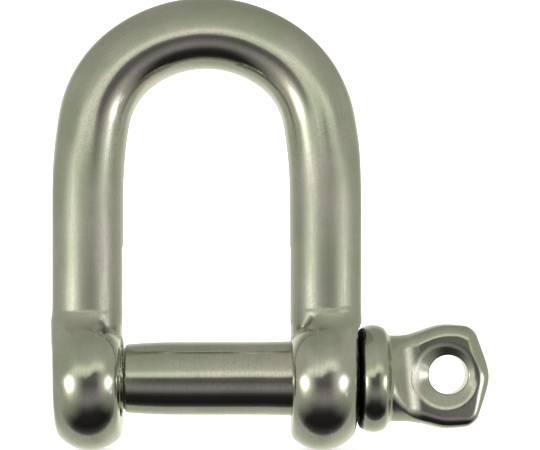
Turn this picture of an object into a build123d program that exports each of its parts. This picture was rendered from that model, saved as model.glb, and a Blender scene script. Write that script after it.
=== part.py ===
from build123d import *
import os
from math import cos, radians

# D shackle with a screw pin, polished stainless steel, nominal size 10 mm.
# Millimetres. The origin is the middle of the jaw on the pin's axis, +X runs along the
# pin to its eye, +Z up to the crown, and the shackle's mid-plane is XZ.

# Bow: one round rod bent to a D
rod_r = 4.9  # 10 mm bar after polishing
leg_x = 16.33  # leg's axis from the middle of the jaw
leg_top = 24.5  # end of the straight legs above the pin's axis
lean_r = 64.4  # the legs lean in slightly before the shoulders
lean_angle = 9.6
shoulder_r = 13.6
shoulder_angle = 44.1

# Ears: round bosses across the ends of the legs
ear_r = 9.8
ear_x = 15.8  # middle of the dome across each ear
ear_dome_r = 5.6
ear_out = 20.45  # outer faces, ground flat
jaw_half = 11.6  # inner faces, milled
face_top = 4.0  # height of the outer faces, which run out up the legs
face_run_out = 10.0
neck_r = 5.0  # proud of the rod where the forging die ended
neck_top = 9.2  # its upper edge on the threaded ear
neck_top_in = 9.42  # and on the plain ear, where it slopes
neck_top_out = 9.9
neck_blend_r = 1.8
spot_r = 8.0  # seat for the pin's collar
hole_edge = 0.35  # broken edges of both holes

# Thread, M10 x 1.5
pitch = 1.5
thread_r = 4.95  # crest of the pin's thread
thread_depth = 0.85
thread_root = 0.12  # half width of the groove's flat root
thread_flank = 0.577  # half width gained for each millimetre towards the crest
tap_r = 5.02  # crest of the ear's thread, open by a running clearance
plain_hole_r = 5.18

# Pin
pin_tip = -20.2
tip_chamfer = 0.9
relief_out = -12.5  # undercut between thread and shank
relief_in = -11.0
relief_r = 4.0
shank_end_r = 4.68
barrel_x = -4.0  # the shank thins from here to the undercut
shank_r = 5.0
swell_x = 8.0  # and thickens from here to the plain ear
fit_x = 11.3
fit_r = 5.1
collar_in = 20.75
collar_out = 24.8
collar_r = 7.35
collar_edge_in = 0.4
collar_edge_out = 0.8
collar_blend_r = 0.5

# Eye: the pin's head, turned, then pressed flat on two sides
head_r = 5.9
eye_x = 32.8
eye_r = 7.14
eye_end = (36.6, 6.75)
eye_nose = (37.9, 3.2)
eye_tip = 38.8
eye_corner_r = 1.1
slope_in = 25.1  # sloped shoulders from the round neck to the flats
slope_out = 27.6
slope_skew = -0.115  # the shoulders lie a little askew
flat_half_in = 3.1
flat_half_tip = 2.45
flat_edge_r = 1.0
eye_hole_r = 2.62
eye_mouth_r = 4.3
mouth_y = 2.81  # half thickness at the countersink's rim
land_y = 2.0  # half length of the straight hole
eye_turn = -3.0  # where the thread stops the eye, from upright
eye_hole_x = 33.0
eye_hole_rise = 0.8  # drilled a little above the pin's axis


def groove(radius, start, length, deep):
    """The thread's V groove wound on +X, cut from radius to deep, past it if deeper."""
    mouth = 0.2 if deep < radius else -0.2
    wide = thread_root + (thread_depth + 0.2) * thread_flank
    centre = Vector(start, 0, 0)
    with BuildPart(mode=Mode.PRIVATE) as cut:
        with BuildLine() as wind:
            Helix(pitch, length, radius, center=centre, direction=(1, 0, 0))
        foot = wind.line @ 0
        section_plane = Plane(foot, x_dir=foot - centre, z_dir=wind.line % 0)
        with BuildSketch(section_plane):
            with BuildLine():
                Polyline(
                    (mouth, -wide),
                    (mouth, wide),
                    (deep - radius, thread_root),
                    (deep - radius, -thread_root),
                    close=True,
                )
            make_face()
        sweep(path=wind.line, is_frenet=True)
    return cut.part


thread_cut = groove(thread_r, pin_tip - 1.2 * pitch, 10.6, thread_r - thread_depth)
tap_cut = groove(tap_r, -ear_out - pitch, 13, tap_r + thread_depth)

# Rod's centreline, half of it drawn and mirrored
with BuildLine(Plane.XZ) as bow_path:
    leg = Line((leg_x, 0), (leg_x, leg_top))
    lean = JernArc(leg @ 1, leg % 1, lean_r, lean_angle)
    shoulder = JernArc(lean @ 1, lean % 1, shoulder_r, shoulder_angle)
    bend = lean_angle + shoulder_angle
    crown_r = (shoulder @ 1).X / cos(radians(bend))
    JernArc(shoulder @ 1, shoulder % 1, crown_r, 90 - bend)
    mirror(about=Plane.YZ)

with BuildPart() as shackle_body:
    # Ears, turned about the pin's axis with domed rims
    with BuildSketch(Plane.XZ):
        with Locations((-ear_x, ear_r - ear_dome_r), (ear_x, ear_r - ear_dome_r)):
            Circle(ear_dome_r)
        with Locations((-ear_x, 0), (ear_x, 0)):
            Rectangle(2 * ear_dome_r, ear_r - ear_dome_r, align=(Align.CENTER, Align.MIN))
        Rectangle(4 * ear_out, 2 * ear_r, align=(Align.CENTER, Align.MAX), mode=Mode.SUBTRACT)
    revolve(axis=Axis.X)

    # Necks, blended into the ears
    with BuildSketch(Plane.XY):
        with Locations((-leg_x, 0), (leg_x, 0)):
            Circle(neck_r)
    extrude(amount=1.5 * neck_top)
    fillet(shackle_body.edges().filter_by(GeomType.BSPLINE), neck_blend_r)

    # Jaw, milled between the ears
    with BuildSketch(Plane.XY.offset(-2 * ear_r)):
        Rectangle(2 * jaw_half, 4 * ear_r)
    extrude(amount=4 * ear_r, mode=Mode.SUBTRACT)

    # Upper edges of the necks, nearly level
    with BuildSketch(Plane.XZ):
        with BuildLine():
            Polyline(
                (-1.2 * ear_out, -2 * ear_r),
                (-1.2 * ear_out, neck_top),
                (0, neck_top),
                (0, neck_top_in),
                (jaw_half, neck_top_in),
                (ear_out, neck_top_out),
                (1.2 * ear_out, neck_top_out),
                (1.2 * ear_out, -2 * ear_r),
                close=True,
            )
        make_face()
    extrude(amount=2 * ear_r, both=True, mode=Mode.INTERSECT)

    # Rod
    with BuildSketch(Plane.XY):
        with Locations((leg_x, 0)):
            Circle(rod_r)
    sweep(path=bow_path.wires()[0])

    # Ears' outer faces, running out up the legs
    with BuildSketch(Plane.XZ):
        with BuildLine():
            Polyline(
                (ear_out, -2 * ear_r),
                (ear_out, face_top),
                (leg_x + neck_r, face_run_out),
                (2 * ear_out, face_run_out),
                (2 * ear_out, -2 * ear_r),
                close=True,
            )
        make_face()
        mirror(about=Plane.YZ)
    extrude(amount=2 * ear_r, both=True, mode=Mode.SUBTRACT)

    # Seat for the collar, and the plain hole
    with BuildSketch(Plane.YZ.offset(ear_out)):
        Circle(spot_r)
    extrude(amount=5, mode=Mode.SUBTRACT)
    with BuildSketch(Plane.XZ):
        with BuildLine():
            Polyline(
                (jaw_half - 1, 0),
                (jaw_half - 1, plain_hole_r + hole_edge + 1),
                (jaw_half + hole_edge, plain_hole_r),
                (ear_out - hole_edge, plain_hole_r),
                (ear_out + 1, plain_hole_r + hole_edge + 1),
                (ear_out + 1, 0),
                close=True,
            )
        make_face()
    revolve(axis=Axis.X, mode=Mode.SUBTRACT)

    # Threaded hole
    with BuildSketch(Plane.XZ):
        with BuildLine():
            Polyline(
                (1 - jaw_half, 0),
                (1 - jaw_half, tap_r + hole_edge + 1),
                (-jaw_half - hole_edge, tap_r),
                (-ear_out + thread_depth, tap_r),
                (-ear_out - 1, tap_r + thread_depth + 1),
                (-ear_out - 1, 0),
                close=True,
            )
        make_face()
    revolve(axis=Axis.X, mode=Mode.SUBTRACT)
    add(tap_cut, mode=Mode.SUBTRACT)

with BuildPart() as screw_pin:
    # Eye's stock, turned
    with BuildSketch(Plane.XZ) as head_section:
        with BuildLine():
            back = Line((collar_in + 1, 0), (collar_in + 1, head_r))
            neck = Line(back @ 1, (slope_in + 0.6, head_r))
            swell = Spline(neck @ 1, (eye_x, eye_r), eye_end, tangents=((1, 0), (1, -0.25)))
            end = Line(swell @ 1, eye_nose)
            nose = Spline(end @ 1, (eye_tip, 0), tangents=(end % 1, (0, -1)))
            Line(nose @ 1, back @ 0)
        make_face()
        fillet(head_section.vertices().sort_by_distance(swell @ 1)[0], eye_corner_r)
    revolve(axis=Axis.X)

    # Flats pressed on it, thinner towards the tip
    eye_plane = Plane.XY.rotated((eye_turn, 0, 0))
    with BuildSketch(eye_plane):
        with BuildLine():
            Polyline(
                (collar_in, 0),
                (collar_in, 2 * head_r),
                (slope_in, head_r),
                (slope_out, flat_half_in),
                (eye_tip + 1, flat_half_tip),
                (eye_tip + 1, 0),
                close=True,
            )
        make_face()
        mirror(about=Plane.XZ)
    skew = eye_plane.from_local_coords(Vector(slope_skew, 0, 1))
    extrude(amount=2 * eye_r, dir=skew, both=True, mode=Mode.INTERSECT)
    flats = [face for face in screw_pin.faces().filter_by(GeomType.PLANE) if face.center().X > slope_out]
    fillet([edge for face in flats for edge in face.edges()], flat_edge_r)

    # Shank and collar, turned
    with BuildSketch(Plane.XZ) as shank_section:
        with BuildLine():
            tip = Polyline((slope_in, 0), (pin_tip, 0), (pin_tip, thread_r - tip_chamfer))
            crest = Polyline(tip @ 1, (pin_tip + tip_chamfer, thread_r), (relief_out - 0.9, thread_r))
            relief = Polyline(crest @ 1, (relief_out, relief_r), (relief_in, relief_r))
            shoulder_face = Line(relief @ 1, (relief_in, shank_end_r))
            barrel = TangentArc((barrel_x, shank_r), shoulder_face @ 1, tangent=(-1, 0))
            shank = Line((barrel_x, shank_r), (swell_x, shank_r))
            fit = Polyline(shank @ 1, (fit_x, fit_r), (collar_in, fit_r))
            Polyline(
                fit @ 1,
                (collar_in, collar_r),
                (collar_out, collar_r),
                (collar_out, head_r),
                (slope_in, head_r),
                (slope_in, 0),
            )
        make_face()
        corners = shank_section.vertices()
        fillet(corners.sort_by_distance((relief_in, shank_end_r))[0], 0.2)
        fillet(corners.sort_by_distance((collar_in, 0, collar_r))[0], collar_edge_in)
        fillet(corners.sort_by_distance((collar_out, 0, collar_r))[0], collar_edge_out)
        fillet(corners.sort_by_distance((collar_out, 0, head_r))[0], collar_blend_r)
    revolve(axis=Axis.X)
    add(thread_cut, mode=Mode.SUBTRACT)

    # Hole through the eye, countersunk on both faces
    hole_plane = eye_plane.offset(eye_hole_rise)
    hole_centre = hole_plane.from_local_coords((eye_hole_x, 0, 0))
    with BuildSketch(hole_plane):
        with BuildLine():
            Polyline(
                (eye_hole_x, -2 * mouth_y),
                (eye_hole_x + eye_mouth_r, -2 * mouth_y),
                (eye_hole_x + eye_mouth_r, -mouth_y),
                (eye_hole_x + eye_hole_r, -land_y),
                (eye_hole_x + eye_hole_r, land_y),
                (eye_hole_x + eye_mouth_r, mouth_y),
                (eye_hole_x + eye_mouth_r, 2 * mouth_y),
                (eye_hole_x, 2 * mouth_y),
                close=True,
            )
        make_face()
    revolve(axis=Axis(hole_centre, eye_plane.y_dir), mode=Mode.SUBTRACT)

shackle_body.part.label = "shackle_body"
screw_pin.part.label = "screw_pin"
os.makedirs("parts", exist_ok=True)
export_step(shackle_body.part, "parts/shackle_body.step")
export_step(screw_pin.part, "parts/screw_pin.step")
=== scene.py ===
import math

import bmesh
import bpy
import numpy as np
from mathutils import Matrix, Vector


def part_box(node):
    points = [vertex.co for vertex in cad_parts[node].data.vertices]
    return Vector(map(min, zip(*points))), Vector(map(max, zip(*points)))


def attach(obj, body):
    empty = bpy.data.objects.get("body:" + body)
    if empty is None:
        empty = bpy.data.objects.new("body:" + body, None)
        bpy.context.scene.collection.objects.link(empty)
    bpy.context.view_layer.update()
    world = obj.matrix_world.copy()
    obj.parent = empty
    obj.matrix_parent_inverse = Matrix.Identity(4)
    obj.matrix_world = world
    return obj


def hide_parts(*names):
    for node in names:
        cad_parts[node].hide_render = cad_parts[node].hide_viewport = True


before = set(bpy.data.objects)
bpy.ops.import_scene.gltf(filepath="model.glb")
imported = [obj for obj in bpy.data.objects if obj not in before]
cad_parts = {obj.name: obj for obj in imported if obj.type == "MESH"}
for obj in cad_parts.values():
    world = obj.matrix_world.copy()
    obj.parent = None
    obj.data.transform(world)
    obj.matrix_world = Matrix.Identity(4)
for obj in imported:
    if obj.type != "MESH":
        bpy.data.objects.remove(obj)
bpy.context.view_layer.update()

MM = 0.001

# ---------------------------------------------------------------- shape, in millimetres
# Both pieces are distance fields, meshed as even quads that lie exactly on the surface.
# A factor under 1 brings a steep field back towards a true distance.

# The rod's radius, its legs' centrelines, and where they begin to bend
ROD_R, LEG_X, LEG_TOP = 4.9, 16.33, 24.5
# Radius and degrees of each bend from leg to crown, which is one more arc
BENDS = ((64.4, 9.6), (13.6, 44.1))
# Radians by which neighbouring arcs overlap, so that no point falls between them
ARC_LAP = 1e-4
# How far outward each leg stands, how much thicker the right one is, and the heights
# between which these fade out
LEFT_SHIFT, RIGHT_SHIFT, SHIFT_FADE = -0.06, 0.1, (25.0, 42.0)
RIGHT_SWELL, SWELL_FADE = 0.1, (28.0, 42.0)

# Ears: a dome about the pin's axis, between a flat outer face and the jaw's milled face
EAR_X, EAR_Q, EAR_DOME = 15.8, 4.2, 5.6
EAR_OUT, OUT_EDGE = 20.45, 0.5
JAW, JAW_EDGE = 11.6, 0.12
# How far the outer face leans out to meet the leg's side, and up to what height
LEAN, LEAN_TOP = 0.85, 10.0
# How far proud of the jaw's face the leg is milled flat, and up to what height
LEG_PROUD, MILLED_TOP = 0.1, 18.0
# The fillet between ear and leg: at the jaw, how much it grows outward, and where
CREASE, CREASE_MORE, CREASE_X = 0.35, 2.2, (12.8, 15.5)
# The relieved upper corner on the jaw side, and the roof that rises from it
ARCH_X, ARCH_Z, ARCH_R, ARCH_EDGE = 15.4, 3.2, 4.3, 1.0
ROOF_X, ROOF_SLOPE = 18.0, 0.4

# The ledge where the forging die ended: its height and slope on either leg, how proud
# it is everywhere and how much more in front, and half the height of its step. On the
# left leg it fades out towards the outer side.
LEDGE_LEFT, LEDGE_RIGHT = (9.2, -0.03), (9.42, 0.055)
LEDGE_PROUD, LEDGE_FRONT, LEDGE_STEP = 0.04, 0.05, 0.3
LEDGE_FADE = (18.0, 20.5)

# Forging marks, from end to end, half their width, and their depth
MARKS = (((-14.1, 7.9), (-13.5, 6.7)), ((14.2, 8.4), (13.4, 7.3)))
MARK_HALF, MARK_DEEP = 0.6, 0.1
# Round discs: their places and radii. The two large ones on the dome tops are a painted reflection of
# a greyer patch, the two small ones below the ears real stains
STAINS_AND_REFLECTIONS = ((-15.2, 4.5, 2.2), (16.1, 5.4, 2.2), (-14.4, -7.5, 0.9), (15.8, -7.2, 0.9))

# Holes and thread
SEAT_X, SEAT_R = EAR_OUT, 8.0
PLAIN_R, TAP_R, HOLE_EDGE = 5.18, 5.02, 0.35
PITCH, THREAD_R, THREAD_DEPTH = 1.5, 4.95, 0.85
CREST_HALF, FLANK = 0.12, 0.577  # half a crest's width, and the tangent of a flank's slope

# Pin: threaded tip, undercut and shank
TIP_X, TIP_EDGE = -20.2, 0.9
UNDERCUT_X, UNDERCUT_R, SCREW_LAP = -12.2, 4.25, 0.5
SHANK_X, SHANK_R, SHANK_EDGE = -11.0, 5.0, 0.2
TAPER_X, TAPER = -4.0, 0.32
FLARE_X, FLARE_LONG, FLARE = 8.0, 3.3, 0.1
# Collar, and the curve of its rim
COLLAR_IN, COLLAR_OUT, COLLAR_R = 20.75, 24.8, 7.35
COLLAR_EDGE_IN, COLLAR_EDGE_OUT, COLLAR_FILLET = 0.35, 0.7, 0.6
COLLAR_MID, RIM_R, RIM_LEAST = 22.8, 2.9, 2.0

# Eye, turned a little past upright and sitting slightly high
EYE_TURN, EYE_RISE, RISE_X = math.radians(-3.0), 0.3, (26.0, 31.0)
# Its round stock: the neck's radius, the swelling to the widest place and the tail
NECK_X, NECK_R, SWELL = 26.6, 5.9, 1.24
WIDEST_X, TAIL_LONG, TAIL, TAIL_POWER = 32.8, 3.8, 0.39, 1.9
END_X, NOSE_R, NOSE, NOSE_POWER, END_SLOPE, END_EDGE = 38.8, 3.2, 0.9, 1.3, 0.366, 1.1
# Its flats: where they start, half their thickness there, and how they skew. The
# slope from the collar and the tapering flat are given by their normals.
FLAT_X, FLAT_HALF, FLAT_SKEW, FLAT_CREASE = 27.6, 3.1, 0.115, 0.8
SLOPE_NORMAL, FLAT_NORMAL = (0.727, 0.687), (0.0532, 0.9986)
# The flats' edges: sharper at the root, softer at the tip above, sharper there below
EDGE, EDGE_ROOT, ROOT_X = 1.1, 0.55, (27.0, 28.5)
TIP_SOFTER, TIP_SHARPER, EYE_TIP_X = 0.8, 0.3, (34.0, 37.0)
# Its hole and countersinks, which are not quite concentric
HOLE_X, HOLE_W, HOLE_R = 32.95, 0.25, 2.65
MOUTH_X, MOUTH_W, MOUTH_R, MOUTH_MOST, MOUTH_STEEP = 32.5, 0.05, 4.3, 4.6, 2.0
MOUTH_CREASE, MOUTH_EDGE = 0.15, 0.2
# The eye's root lies inside the collar
EYE_ROOT = 23.0

# The lowest and highest corners of the grid that each piece is meshed on, and its cell
BODY_GRID = (-22.2, -10.6, -10.6), (22.2, 10.6, 52.9), 0.265
PIN_GRID = (-21.2, -7.9, -7.9), (39.5, 7.9, 8.2), 0.18


def clamp01(v):
    return np.clip(v, 0.0, 1.0)


def smoothstep(v, low, high):
    """Rises smoothly from 0 at low to 1 at high."""
    t = clamp01((v - low) / (high - low))
    return t * t * (3 - 2 * t)


def band(v, rise, fall):
    """Rises smoothly from 0 to 1 between the values in rise, and back to 0 in fall."""
    return smoothstep(v, *rise) * (1 - smoothstep(v, *fall))


def join(a, b, r):
    """Union with a fillet of radius r in the crease."""
    return np.maximum(r, np.minimum(a, b)) - np.hypot(np.maximum(r - a, 0), np.maximum(r - b, 0))


def meet(a, b, r):
    """Intersection with its edge rounded to radius r."""
    return np.minimum(-r, np.maximum(a, b)) + np.hypot(np.maximum(r + a, 0), np.maximum(r + b, 0))


def bow_arcs():
    """Centre, radius and end angles of each arc of the rod's centreline, right half."""
    x, z, turned, arcs = LEG_X, LEG_TOP, 0.0, []
    for radius, degrees in BENDS:
        centre = (x - radius * math.cos(turned), z - radius * math.sin(turned))
        arcs.append((centre, radius, turned, turned + math.radians(degrees)))
        turned += math.radians(degrees)
        x = centre[0] + radius * math.cos(turned)
        z = centre[1] + radius * math.sin(turned)
    radius = x / math.cos(turned)
    arcs.append(((0.0, z - radius * math.sin(turned)), radius, turned, math.pi / 2))
    return arcs


ARCS = bow_arcs()


def rod(a, y, z):
    """The bent rod, from the ears up; a is the distance from the middle plane."""
    drop = z - np.clip(z, 0, LEG_TOP)
    d = np.sqrt((a - LEG_X) ** 2 + y * y + drop * drop)
    for (cx, cz), radius, low, high in ARCS:
        angle = np.arctan2(z - cz, a - cx)
        arc = np.hypot(np.hypot(a - cx, z - cz) - radius, y)
        d = np.where((angle >= low - ARC_LAP) & (angle <= high + ARC_LAP), np.minimum(d, arc), d)
    return d - ROD_R


def waves(x, y, z, seed, count, length, size):
    """Soft unevenness left by forging and hand polishing, between 0 and size."""
    draw = np.random.default_rng(seed)
    total = 0.0
    for _ in range(count):
        # A wave of random direction, length and phase
        k = draw.normal(size=3)
        k *= 2 * math.pi / (length * draw.uniform(0.7, 1.6) * np.linalg.norm(k))
        total = total + np.sin(x * k[0] + y * k[1] + z * k[2] + draw.uniform(0, 6.3))
    return size * (0.5 + 0.5 * total / count)


def thread(x, y, z, crest, sign):
    """Radius of a V thread about X: crest, cut deeper (sign -1) or wider (sign 1)."""
    turn = np.arctan2(z, y) / (2 * math.pi)
    u = np.abs((x / PITCH - turn + 0.5) % 1.0 - 0.5) * PITCH
    return crest + sign * np.clip(THREAD_DEPTH - (u - CREST_HALF) / FLANK, 0, THREAD_DEPTH)


def ledge_height(a, right):
    """Height of the ledge on either leg, sloping and uneven."""
    even_right = LEDGE_RIGHT[0] + LEDGE_RIGHT[1] * (a - JAW)
    even_left = LEDGE_LEFT[0] + LEDGE_LEFT[1] * (a - LEG_X)
    uneven = 0.05 * np.sin(2.1 * a + 0.7) + 0.035 * np.sin(5.3 * a + 1.9)
    return np.where(right, even_right, even_left) + uneven


def ear_and_leg(x, y, z):
    """The fields of an ear and of its leg, before they are joined."""
    a, q = np.abs(x), np.hypot(y, z)
    right = x > 0
    # Ear: the dome, relieved on the jaw side
    dome = np.hypot(a - EAR_X, np.maximum(q - EAR_Q, 0)) - EAR_DOME
    arch = np.hypot(a - ARCH_X, z - ARCH_Z) - ARCH_R
    flank = np.where(z < ARCH_Z, ARCH_X - ARCH_R - a, arch)
    roof = (z - ARCH_Z - ARCH_R - ROOF_SLOPE * np.maximum(0, a - ROOF_X)) * 0.93
    ear = meet(dome, np.where(a < ARCH_X, flank, roof), ARCH_EDGE)
    ear = meet(ear, JAW - a, JAW_EDGE)
    # Leg: the rod, a little proud below the ledge
    proud = LEDGE_PROUD + LEDGE_FRONT * (y / np.maximum(np.hypot(a - LEG_X, y), 1)) ** 2
    proud = proud * np.where(right, 1.0, 1 - smoothstep(a, *LEDGE_FADE))
    below = smoothstep(ledge_height(a, right) - z, -LEDGE_STEP, LEDGE_STEP)
    shift = np.where(right, RIGHT_SHIFT, LEFT_SHIFT) * (1 - smoothstep(z, *SHIFT_FADE))
    swell = np.where(right, RIGHT_SWELL, 0.0) * (1 - smoothstep(z, *SWELL_FADE))
    leg = rod(a - shift, y, z) - proud * below - swell
    milled = np.where(z < MILLED_TOP, JAW - LEG_PROUD - a, -ROD_R)
    leg = np.maximum(np.maximum(leg, milled), -z)
    return ear, leg


def marked(x, y, z):
    """1 along the middle of a forging mark on the front, fading to 0 at its edge."""
    nearest = np.inf
    for (x0, z0), (x1, z1) in MARKS:
        dx, dz = x1 - x0, z1 - z0
        t = clamp01(((x - x0) * dx + (z - z0) * dz) / (dx * dx + dz * dz))
        nearest = np.minimum(nearest, np.hypot(x - x0 - t * dx, z - z0 - t * dz))
    return (1 - smoothstep(nearest, 0.0, MARK_HALF)) * (y < 0)


def body_field(x, y, z):
    a, q = np.abs(x), np.hypot(y, z)
    ear, leg = ear_and_leg(x, y, z)
    body = join(ear, leg, CREASE + CREASE_MORE * smoothstep(a, *CREASE_X))
    body = body + waves(x, y, z, seed=3, count=7, length=9.0, size=0.05)
    body = meet(body, a - EAR_OUT - LEAN * smoothstep(z, 0.0, LEAN_TOP), OUT_EDGE)
    body = body + MARK_DEEP * marked(x, y, z)
    # Seat for the collar
    body = np.maximum(body, np.minimum(x - SEAT_X, SEAT_R - q))
    # Holes, plain on the right and tapped on the left
    plain = PLAIN_R + np.maximum(0, HOLE_EDGE - (a - JAW)) + np.maximum(0, HOLE_EDGE - (SEAT_X - a))
    tapped = thread(x, y, z, TAP_R, 1)
    tapped = np.maximum(tapped, TAP_R + HOLE_EDGE - (a - JAW))
    tapped = np.maximum(tapped, TAP_R + THREAD_DEPTH - (EAR_OUT - a))
    hole = np.where(x > 0, plain, tapped)
    return np.maximum(body, (hole - q) * 0.85)


def shank_radius(x):
    """Tapers towards the undercut and widens a little at the plain ear."""
    taper = TAPER * clamp01((TAPER_X - x) / (TAPER_X - SHANK_X)) ** 2
    return SHANK_R - taper + FLARE * clamp01((x - FLARE_X) / FLARE_LONG)


def shank_and_screw(x, y, z):
    q = np.hypot(y, z)
    shank = meet(q - shank_radius(x), SHANK_X - x, SHANK_EDGE)
    shank = np.maximum(shank, x - COLLAR_MID)
    cut = thread(x, y, z, THREAD_R, -1)
    cut = np.minimum(cut, THREAD_R - TIP_EDGE + (x - TIP_X))
    cut = np.minimum(cut, UNDERCUT_R + np.maximum(0, UNDERCUT_X - x))
    screw = np.maximum((q - cut) * 0.87, np.maximum(TIP_X - x, x - SHANK_X - SCREW_LAP))
    return np.minimum(shank, screw)


def domed_collar(x, y, z):
    rim = np.sqrt(np.maximum(RIM_R ** 2 - (x - COLLAR_MID) ** 2, RIM_LEAST))
    side = (np.hypot(y, z) - (COLLAR_R - RIM_R + rim)) * 0.93
    collar = meet(side, COLLAR_IN - x, COLLAR_EDGE_IN)
    return meet(collar, x - COLLAR_OUT, COLLAR_EDGE_OUT)


def flat_eye(x, y, z):
    v = y * math.cos(EYE_TURN) + z * math.sin(EYE_TURN)
    w = z * math.cos(EYE_TURN) - y * math.sin(EYE_TURN)
    w = w - EYE_RISE * smoothstep(x, *RISE_X)
    # Round stock, swelling from the neck and blunt at its end
    q = np.hypot(v, w)
    radius = NECK_R + SWELL * smoothstep(x, NECK_X, WIDEST_X)
    radius = radius - TAIL * clamp01((x - WIDEST_X) / TAIL_LONG) ** TAIL_POWER
    nose = np.minimum(q, NOSE_R)
    rounding = NOSE * (nose / NOSE_R) ** NOSE_POWER + END_SLOPE * (q - nose)
    stock = meet((q - radius) * 0.98, (x - END_X + rounding) * 0.94, END_EDGE)
    # Flattened on both sides
    along = x + FLAT_SKEW * w - FLAT_X
    out = np.abs(v) - FLAT_HALF
    slope = SLOPE_NORMAL[0] * along + SLOPE_NORMAL[1] * out
    flat = FLAT_NORMAL[0] * along + FLAT_NORMAL[1] * out
    at_tip = TIP_SOFTER * smoothstep(w, 0.0, 4.0) - TIP_SHARPER * smoothstep(-w, 2.0, 5.0)
    edge = EDGE_ROOT + (EDGE - EDGE_ROOT) * smoothstep(x, *ROOT_X)
    edge = edge + at_tip * smoothstep(x, *EYE_TIP_X)
    eye = meet(stock, join(slope, flat, FLAT_CREASE), edge)
    # Hole and countersinks
    hole = np.hypot(x - HOLE_X, w - HOLE_W) - HOLE_R
    mouth = np.hypot(x - MOUTH_X, w - MOUTH_W)
    mouth = np.maximum((mouth - MOUTH_R - MOUTH_STEEP * flat) * 0.45, mouth - MOUTH_MOST)
    eye = meet(eye, -join(hole, mouth, MOUTH_CREASE), MOUTH_EDGE)
    return np.maximum(eye, EYE_ROOT - x)


def pin_field(x, y, z):
    head = join(domed_collar(x, y, z), flat_eye(x, y, z), COLLAR_FILLET)
    pin = np.minimum(shank_and_screw(x, y, z), head)
    return pin + waves(x, y, z, seed=11, count=6, length=8.0, size=0.025)


def gradient(field, p, step=0.02):
    g = np.empty_like(p)
    for i in range(3):
        low, high = p.copy(), p.copy()
        low[:, i] -= step
        high[:, i] += step
        g[:, i] = (field(*high.T) - field(*low.T)) / (2 * step)
    return g


def settle(field, p, rounds):
    """Moves points onto the surface along the field's gradient."""
    for _ in range(rounds):
        g = gradient(field, p)
        d = field(*p.T)
        p = p - g * (d / np.maximum((g * g).sum(1), 0.2))[:, None]
    return p


def surface_net(field, low, high, cell):
    """Vertices and quads of the surface field = 0, one vertex to a crossed cell."""
    axes = [np.arange(a, b + cell, cell) for a, b in zip(low, high)]
    values = np.empty([len(a) for a in axes], np.float32)
    y, z = np.meshgrid(axes[1], axes[2], indexing="ij")
    for i, x in enumerate(axes[0]):
        values[i] = field(np.full_like(y, x), y, z)
    inside = values < 0
    sizes = [n - 1 for n in inside.shape]
    count = np.zeros(sizes, np.int8)
    for i in (0, 1):
        for j in (0, 1):
            for k in (0, 1):
                count += inside[i : sizes[0] + i, j : sizes[1] + j, k : sizes[2] + k]
    crossed = (count > 0) & (count < 8)
    index = np.full(sizes, -1, np.int64)
    cells = np.argwhere(crossed)
    index[crossed] = np.arange(len(cells))
    points = np.asarray(low) + (cells + 0.5) * cell
    quads = []
    for axis in range(3):
        u, v = (axis + 1) % 3, (axis + 2) % 3
        near = np.moveaxis(inside, axis, 0)[:-1]
        far = np.moveaxis(inside, axis, 0)[1:]
        edges = np.argwhere(np.moveaxis(near != far, 0, axis))
        keep = (edges[:, u] > 0) & (edges[:, v] > 0)
        keep &= (edges[:, u] < sizes[u]) & (edges[:, v] < sizes[v])
        edges = edges[keep]
        corners = []
        for du, dv in ((-1, -1), (0, -1), (0, 0), (-1, 0)):
            at = edges.copy()
            at[:, u] += du
            at[:, v] += dv
            corners.append(index[at[:, 0], at[:, 1], at[:, 2]])
        quad = np.stack(corners, 1)
        outward = inside[edges[:, 0], edges[:, 1], edges[:, 2]]
        quad[~outward] = quad[~outward, ::-1]
        quads.append(quad)
    return points, np.concatenate(quads)


def relax(points, quads, field, rounds):
    """Evens out the quads without leaving the surface."""
    a = np.concatenate([quads[:, i] for i in range(4)])
    b = np.concatenate([quads[:, (i + 1) % 4] for i in range(4)])
    n = len(points)
    degree = np.bincount(a, minlength=n) + np.bincount(b, minlength=n)
    for _ in range(rounds):
        total = [np.bincount(a, v[b], n) + np.bincount(b, v[a], n) for v in points.T]
        mean = np.stack(total, 1) / degree[:, None]
        points = settle(field, points + 0.6 * (mean - points), 1)
    return settle(field, points, 3)


def show(thing):
    bpy.context.scene.collection.objects.link(thing)


def make_piece(name, field, low, high, cell):
    """An object of quads on the surface field = 0, with the field's own normals."""
    points, quads = surface_net(field, low, high, cell)
    points = settle(field, points, 4)
    points = relax(points, quads, field, 5)
    normals = gradient(field, points)
    normals /= np.linalg.norm(normals, axis=1)[:, None]
    mesh = bpy.data.meshes.new(name)
    mesh.vertices.add(len(points))
    mesh.vertices.foreach_set("co", (points * MM).astype(np.float32).ravel())
    mesh.loops.add(quads.size)
    mesh.loops.foreach_set("vertex_index", quads.astype(np.int32).ravel())
    mesh.polygons.add(len(quads))
    mesh.polygons.foreach_set("loop_start", np.arange(0, quads.size, 4, dtype=np.int32))
    mesh.update(calc_edges=True)
    mesh.validate()
    mesh.polygons.foreach_set("use_smooth", np.ones(len(quads), bool))
    mesh.normals_split_custom_set_from_vertices(normals.astype(np.float32))
    piece = bpy.data.objects.new(name, mesh)
    show(piece)
    return piece, points


body, body_points = make_piece("bow", body_field, *BODY_GRID)
pin, pin_points = make_piece("pin", pin_field, *PIN_GRID)
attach(body, "shackle")
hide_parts("shackle_body")
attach(pin, "pin")
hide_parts("screw_pin")


# ---------------------------------------------------------------- where each finish goes
# The layers are satin, for duller steel; bar, where the lines run along the rod and not
# about the pin's axis; dirt with painted shade, and stains with a painted reflection; and run and
# turned, the places for the lines.
# The places are squeezed along the lines and drawn out across them:
RUN_ALONG, RUN_ACROSS = 0.1, 2.5
TURNED_ABOUT, TURNED_ACROSS = 0.15, 3.0


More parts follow.
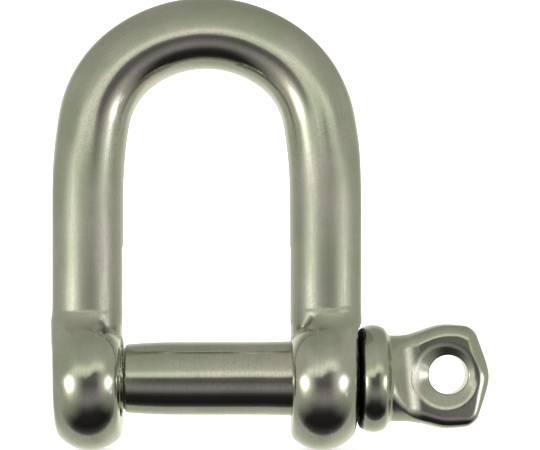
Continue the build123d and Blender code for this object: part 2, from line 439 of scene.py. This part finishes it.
def rod_run(points):
    """Place along the rod and across it, for the polishing lines on the bar."""
    x, y, z = points.T
    a = np.abs(x)
    run, off = np.where(z < LEG_TOP, z, LEG_TOP), a - LEG_X
    done = LEG_TOP
    for (cx, cz), radius, low, high in ARCS:
        angle = np.arctan2(z - cz, a - cx)
        here = (angle >= low) & (angle <= high + ARC_LAP) & (z > LEG_TOP)
        run = np.where(here, done + radius * (angle - low), run)
        off = np.where(here, np.hypot(a - cx, z - cz) - radius, off)
        done += radius * (high - low)
    run = np.where(x < 0, 2 * done - run, run)
    return np.stack([RUN_ALONG * run, RUN_ACROSS * off, RUN_ACROSS * y], 1)


def turned(points):
    """Place along, out from and about the pin's axis, for the turning lines."""
    x, y, z = points.T
    q = np.hypot(y, z)
    about = TURNED_ABOUT * np.arctan2(y, -z) * q
    return np.stack([TURNED_ACROSS * x, TURNED_ACROSS * q, about], 1)


def paint(piece, **layers):
    """Stores a number or a vector for each vertex, for the material."""
    for name, values in layers.items():
        values = np.asarray(values, np.float32)
        kind, field = ("FLOAT", "value") if values.ndim == 1 else ("FLOAT_VECTOR", "vector")
        layer = piece.data.attributes.new(name, kind, "POINT")
        layer.data.foreach_set(field, values.ravel())


def paint_body():
    x, y, z = body_points.T
    ear, leg = ear_and_leg(x, y, z)
    # Dirt and painted shade darken the marks, the crease at the jaw's corners and the collar's seat
    crease = 1 - smoothstep(np.maximum(np.abs(ear), np.abs(leg)), 0.12, 0.4)
    corner = crease * (1 - smoothstep(np.abs(x), 13.0, 14.2)) * (z < 8)
    seat = smoothstep(x, 19.9, 20.3) * (np.hypot(y, z) < SEAT_R - 0.1)
    # Round discs: a painted reflection on the dome tops, real stains below the ears
    stains = [1 - smoothstep(np.hypot(x - sx, z - sz), r - 0.5, r + 0.4) for sx, sz, r in STAINS_AND_REFLECTIONS]
    paint(
        body,
        satin=band(z, (6.9, 7.9), (24, 38)),
        bar=smoothstep(z, 7.0, 8.5),
        grime=np.maximum.reduce([0.62 * marked(x, y, z), 0.42 * corner, seat]),
        stain=np.max(stains, axis=0) * (y < 0),
        run=rod_run(body_points),
        turned=turned(body_points),
    )


def paint_pin():
    x, y, z = pin_points.T
    # Dirt and painted shade darken the gap at the collar and the thread's roots
    gap = band(x, (19.5, 20.2), (21.1, 21.5))
    threaded = band(x, (-20.1, -19.7), (-12.9, -12.4))
    deep = 1 - smoothstep(np.hypot(y, z), 4.2, 4.7)
    paint(
        pin,
        satin=band(x, (24.8, 25.6), (28.6, 29.4)),
        bar=np.zeros_like(x),
        grime=np.maximum(gap, 0.6 * deep * threaded),
        stain=np.zeros_like(x),
        run=np.zeros_like(pin_points),
        turned=turned(pin_points),
    )


paint_body()
paint_pin()


# ---------------------------------------------------------------- materials
class Nodes:
    """Short calls for building a node tree."""

    def __init__(self, tree):
        self.tree = tree
        tree.nodes.clear()

    def add(self, kind, inputs=None, **settings):
        node = self.tree.nodes.new(kind)
        for key, value in settings.items():
            setattr(node, key, value)
        for key, value in (inputs or {}).items():
            socket = node.inputs[key]
            if isinstance(value, bpy.types.NodeSocket):
                self.tree.links.new(value, socket)
            else:
                socket.default_value = value
        return node

    def math(self, operation, *values):
        return self.add("ShaderNodeMath", dict(enumerate(values)), operation=operation).outputs[0]

    def ramp(self, value, low, high, to_low=0.0, to_high=1.0):
        node = self.add(
            "ShaderNodeMapRange",
            {"Value": value, "From Min": low, "From Max": high, "To Min": to_low, "To Max": to_high},
            interpolation_type="SMOOTHSTEP",
        )
        return node.outputs["Result"]

    def noise(self, vector, scale, detail=3.0, roughness=0.5):
        node = self.add(
            "ShaderNodeTexNoise",
            {"Vector": vector, "Scale": scale, "Detail": detail, "Roughness": roughness},
        )
        return node.outputs["Fac"]

    def profile(self, degrees, stops, tint):
        """Colour against an angle from -180 to 180 degrees, straight between its stops."""
        turn = self.math("DIVIDE", self.math("ADD", degrees, 180.0), 360.0)
        node = self.add("ShaderNodeValToRGB", {"Fac": turn})
        elements = node.color_ramp.elements
        while len(elements) < len(stops):
            elements.new(0.5)
        for element, stop in zip(elements, stops):
            element.position = (stop[0] + 180) / 360
        for element, stop in zip(elements, stops):
            element.color = (*(part * stop[1] for part in tint), 1)
        return node.outputs["Color"]

    def mix(self, factor, a, b):
        node = self.add("ShaderNodeMix", {0: factor, 6: a, 7: b}, data_type="RGBA")
        return node.outputs[2]

    def painted(self, name, output="Fac"):
        return self.add("ShaderNodeAttribute", attribute_name=name).outputs[output]

    def place(self):
        return self.add("ShaderNodeTexCoord").outputs["Object"]


def new_material(name):
    material = bpy.data.materials.new(name)
    material.use_nodes = True
    return material, Nodes(material.node_tree)


# Steel is two pale tones in clouds, with darker grain, specks and lines, and dirt with painted shade
# and round discs of stain and painted reflection over them
CLOUD_TONES = (0.55, 0.59, 0.48, 1.0), (0.70, 0.665, 0.625, 1.0)
GRAIN_TONE, SPECK_TONE = (0.47, 0.475, 0.42, 1.0), (0.42, 0.41, 0.36, 1.0)
LINE_TONE = (0.5, 0.51, 0.44, 1.0)
# Dark tone for dirt and painted shade; grey tone for stains and a painted reflection
DIRT_AND_SHADE_TONE, STAIN_AND_REFLECTION_TONE = (0.035, 0.028, 0.022, 1.0), (0.36, 0.37, 0.32, 1.0)


def steel(name, polished, satin_more):
    """Stainless steel: bright polish with fine lines, satin, and darkened where painted with dirt and
    painted shade.
    """
    material, n = new_material(name)
    place = n.place()
    grime = n.painted("grime")
    cloud = n.noise(place, 150.0)
    speck = n.noise(place, 1700.0, 2.0, 0.6)
    grain = n.noise(place, 4200.0, 2.0, 0.6)
    along = n.noise(n.painted("run", "Vector"), 1.4, 4.0, 0.65)
    about = n.noise(n.painted("turned", "Vector"), 1.4, 4.0, 0.65)
    lines = n.add("ShaderNodeMix", {0: n.painted("bar"), 2: about, 3: along}).outputs[0]
    # Colour
    colour = n.mix(n.ramp(cloud, 0.34, 0.66), *CLOUD_TONES)
    colour = n.mix(n.ramp(grain, 0.35, 0.7, 0.0, 0.35), colour, GRAIN_TONE)
    colour = n.mix(n.ramp(speck, 0.62, 0.75, 0.0, 0.5), colour, SPECK_TONE)
    colour = n.mix(n.ramp(lines, 0.35, 0.7, 0.0, 0.35), colour, LINE_TONE)
    # Painted shade and dirt darken the colour, then the discs of stain and painted reflection grey it
    patchy = n.math("MULTIPLY", grime, n.ramp(n.noise(place, 900.0, 2.0), 0.3, 0.6, 0.55, 1.1))
    colour = n.mix(n.ramp(patchy, 0.05, 0.8, 0.0, 0.93), colour, DIRT_AND_SHADE_TONE)
    colour = n.mix(n.math("MULTIPLY", n.painted("stain"), 0.3), colour, STAIN_AND_REFLECTION_TONE)
    # Roughness
    rough = n.math("ADD", n.math("MULTIPLY", n.painted("satin"), satin_more), polished)
    rough = n.math("ADD", rough, n.ramp(lines, 0.3, 0.75, -0.03, 0.05))
    rough = n.math("ADD", rough, n.ramp(cloud, 0.3, 0.7, -0.015, 0.02))
    rough = n.math("ADD", rough, n.ramp(grain, 0.3, 0.7, -0.02, 0.04))
    rough = n.math("ADD", rough, n.math("MULTIPLY", grime, 0.3))
    # Scratches
    height = n.math("ADD", n.math("MULTIPLY", speck, 0.5), lines)
    height = n.math("ADD", height, n.math("MULTIPLY", grain, 0.35))
    bump = n.add("ShaderNodeBump", {"Height": height, "Strength": 0.45, "Distance": 0.000012})
    shader = n.add(
        "ShaderNodeBsdfPrincipled",
        {"Base Color": colour, "Metallic": 1.0, "Roughness": rough, "Normal": bump.outputs["Normal"]},
    )
    n.add("ShaderNodeOutputMaterial", {"Surface": shader.outputs["BSDF"]})
    return material


body.data.materials.append(steel("body_steel", polished=0.115, satin_more=0.27))
pin.data.materials.append(steel("pin_steel", polished=0.11, satin_more=0.2))


# ---------------------------------------------------------------- studio, in metres
FLOOR_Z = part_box("shackle_body")[0].z
FLOOR_DEPTH, FLOOR_FRONT, FLOOR_HALF_WIDE = 1.2, -2.0, 3.0
SWEEP_R, SWEEP_STEPS, BACKDROP_RISE = 0.5, 24, 1.6
TENT_R = 0.2


def studio_sweep():
    """A pale floor that curves up into a pale backdrop."""
    profile = [(FLOOR_FRONT, 0.0)]
    for i in range(SWEEP_STEPS + 1):
        t = math.pi / 2 * i / SWEEP_STEPS
        profile.append((FLOOR_DEPTH + SWEEP_R * math.sin(t), SWEEP_R - SWEEP_R * math.cos(t)))
    profile.append((FLOOR_DEPTH + SWEEP_R, BACKDROP_RISE))
    verts = [(x, y, FLOOR_Z + z) for y, z in profile for x in (-FLOOR_HALF_WIDE, FLOOR_HALF_WIDE)]
    faces = [(2 * i, 2 * i + 1, 2 * i + 3, 2 * i + 2) for i in range(len(profile) - 1)]
    mesh = bpy.data.meshes.new("studio_floor")
    mesh.from_pydata(verts, [], faces)
    mesh.polygons.foreach_set("use_smooth", [True] * len(faces))
    floor = bpy.data.objects.new("studio_floor", mesh)
    show(floor)
    floor.visible_glossy = False
    material, n = new_material("studio_paper")
    colour = n.mix(n.noise(n.place(), 40.0), (0.93, 0.93, 0.92, 1), (0.95, 0.95, 0.945, 1))
    shader = n.add(
        "ShaderNodeBsdfPrincipled",
        {"Base Color": colour, "Roughness": 0.9, "Emission Color": colour, "Emission Strength": 0.6},
    )
    n.add("ShaderNodeOutputMaterial", {"Surface": shader.outputs["BSDF"]})
    mesh.materials.append(material)


# Brightness of the tent against degrees down from straight ahead: its pale cloth, and
# the opening in front and below, where the dark room shows
PALE_SIDE = (
    (-180, 1.0), (-155, 0.75), (-128, 0.36), (-104, 0.36), (-82, 0.39), (-66, 0.43),
    (-52, 0.48), (-38, 0.53), (-28, 0.62), (-19, 1.0), (-13, 0.88), (-5, 0.6),
    (90, 0.48), (108, 0.48), (128, 0.6), (150, 0.85), (180, 1.0),
)
DARK_SIDE = (
    (-180, 0.16), (-4, 0.14), (6, 0.12), (15, 0.22), (26, 0.3), (35, 0.22), (44, 0.07),
    (53, 0.025), (78, 0.015), (88, 0.05), (98, 0.16), (106, 0.45), (180, 0.5),
)
PALE_TINT, DARK_TINT = (1.0, 1.02, 0.86), (1.0, 0.93, 0.95)
END_TONE = (0.46, 0.47, 0.4, 1)  # far to the left and right
OPENING_MIDDLE = 4.0  # degrees right of straight ahead

# Soft lamps: degrees aside and down, their spread each way, their brightness and tint
LAMPS = (
    (-51, 5, 13.0, 13.5, 2.6, (1.0, 0.99, 0.88)),
    (-53, 26, 11.0, 12.0, 0.5, (1.0, 0.86, 0.5)),
    (59, 5, 12.0, 12.5, 2.2, (1.0, 0.97, 0.95)),
    (63, 36, 3.0, 4.5, 1.4, (0.85, 0.93, 1.0)),
)


def opening(n, across, below, raised):
    """1 in the opening, which is wider the further down, and 0 in the cloth."""
    aside = n.math("ABSOLUTE", n.math("SUBTRACT", across, OPENING_MIDDLE))
    # Its sides fade between these two angles from the middle
    inner = n.ramp(below, 42.0, 78.0, 12.0, 34.0)
    outer = n.ramp(below, 8.0, 50.0, 42.0, 72.0)
    front = n.math("MULTIPLY", n.ramp(aside, inner, outer, 1.0, 0.0), n.ramp(raised, -10.0, -4.0))
    return n.math("MULTIPLY", front, n.ramp(below, 99.0, 94.0))


def soft_lamp(n, across, below, colour, aside, down, wide, tall, level, tint):
    """Adds the glow of one soft lamp to colour."""
    u = n.math("DIVIDE", n.math("SUBTRACT", across, aside), wide)
    v = n.math("DIVIDE", n.math("SUBTRACT", below, down), tall)
    far = n.math("ADD", n.math("MULTIPLY", u, u), n.math("MULTIPLY", v, v))
    glow = n.math("MULTIPLY", n.math("EXPONENT", n.math("MULTIPLY", far, -1.0)), level)
    tinted = n.mix(glow, (0.0, 0.0, 0.0, 1.0), (*tint, 1.0))
    tinted.node.clamp_factor = False
    return n.add("ShaderNodeVectorMath", {0: colour, 1: tinted}, operation="ADD").outputs[0]


def tent():
    """What the steel reflects: a pale tent with a dark opening and soft lamps."""
    bm = bmesh.new()
    bmesh.ops.create_uvsphere(bm, u_segments=96, v_segments=48, radius=TENT_R)
    mesh = bpy.data.meshes.new("light_tent")
    bm.to_mesh(mesh)
    bm.free()
    shell = bpy.data.objects.new("light_tent", mesh)
    show(shell)
    shell.visible_camera = False
    shell.visible_diffuse = False
    shell.visible_shadow = False
    material, n = new_material("light_tent")
    mesh.materials.append(material)
    way = n.add("ShaderNodeVectorMath", {0: n.place()}, operation="NORMALIZE").outputs[0]
    x, y, z = n.add("ShaderNodeSeparateXYZ", {0: way}).outputs
    # Degrees down from straight ahead, and degrees to the right
    below = n.math("ARCTAN2", n.math("MULTIPLY", z, -1.0), n.math("MULTIPLY", y, -1.0))
    below = n.math("MULTIPLY", below, 180 / math.pi)
    across = n.math("MULTIPLY", n.math("ARCSINE", x), 180 / math.pi)
    # The opening reaches higher on the right
    raised = n.math("ADD", below, n.ramp(across, -4.0, 20.0, 0.0, 9.0))
    pale = n.profile(raised, PALE_SIDE, PALE_TINT)
    pale = n.mix(n.ramp(n.math("ABSOLUTE", x), 0.55, 0.85), pale, END_TONE)
    dark = n.profile(below, DARK_SIDE, DARK_TINT)
    colour = n.mix(opening(n, across, below, raised), pale, dark)
    for lamp_values in LAMPS:
        colour = soft_lamp(n, across, below, colour, *lamp_values)
    light = n.add("ShaderNodeEmission", {"Color": colour, "Strength": 1.0})
    n.add("ShaderNodeOutputMaterial", {"Surface": light.outputs["Emission"]})


def sky():
    """Even white light behind everything."""
    world = bpy.data.worlds.new("studio")
    bpy.context.scene.world = world
    world.use_nodes = True
    n = Nodes(world.node_tree)
    light = n.add("ShaderNodeBackground", {"Color": (1.0, 1.0, 1.0, 1.0), "Strength": 1.1})
    n.add("ShaderNodeOutputWorld", {"Surface": light.outputs["Background"]})


def lamp(name, azimuth, elevation, size, power, colour):
    """A weak area light just inside the tent, aimed at the object."""
    a, e = math.radians(azimuth), math.radians(elevation)
    way = Vector((math.sin(a) * math.cos(e), -math.cos(a) * math.cos(e), math.sin(e)))
    data = bpy.data.lights.new(name, "AREA")
    data.shape, data.size, data.size_y = "ELLIPSE", size[0], size[1]
    data.energy, data.color = power, colour
    light = bpy.data.objects.new(name, data)
    light.location = way * 0.95 * TENT_R
    light.rotation_euler = (-way).to_track_quat("-Z", "Y").to_euler()
    show(light)


bpy.context.scene.view_settings.view_transform = "Standard"
studio_sweep()
tent()
sky()
lamp("lamp_left", -51, -4, (0.09, 0.08), 0.012, (1.0, 0.99, 0.88))
lamp("lamp_right", 57, -4, (0.075, 0.075), 0.009, (1.0, 0.97, 0.95))

# ---------------------------------------------------------------- camera, in millimetres
CAMERA_PLACE = (4.2, -243.0, 21.0)
VIEW_WIDE, VIEW_X = 73.97, 8.726  # width and middle of the view, at the shackle's mid-plane
camera = bpy.data.cameras.new("camera")
camera.sensor_width = 36.0
camera.lens = camera.sensor_width * -CAMERA_PLACE[1] / VIEW_WIDE
camera.shift_x = (VIEW_X - CAMERA_PLACE[0]) / VIEW_WIDE
camera.clip_start, camera.clip_end = 0.01, 50.0
view = bpy.data.objects.new("camera", camera)
view.location = Vector(CAMERA_PLACE) * MM
view.rotation_euler = (math.pi / 2, 0.0, 0.0)
show(view)
bpy.context.scene.camera = view


def plain(bounds):
    return [[float(v) for v in corner] for corner in bounds]
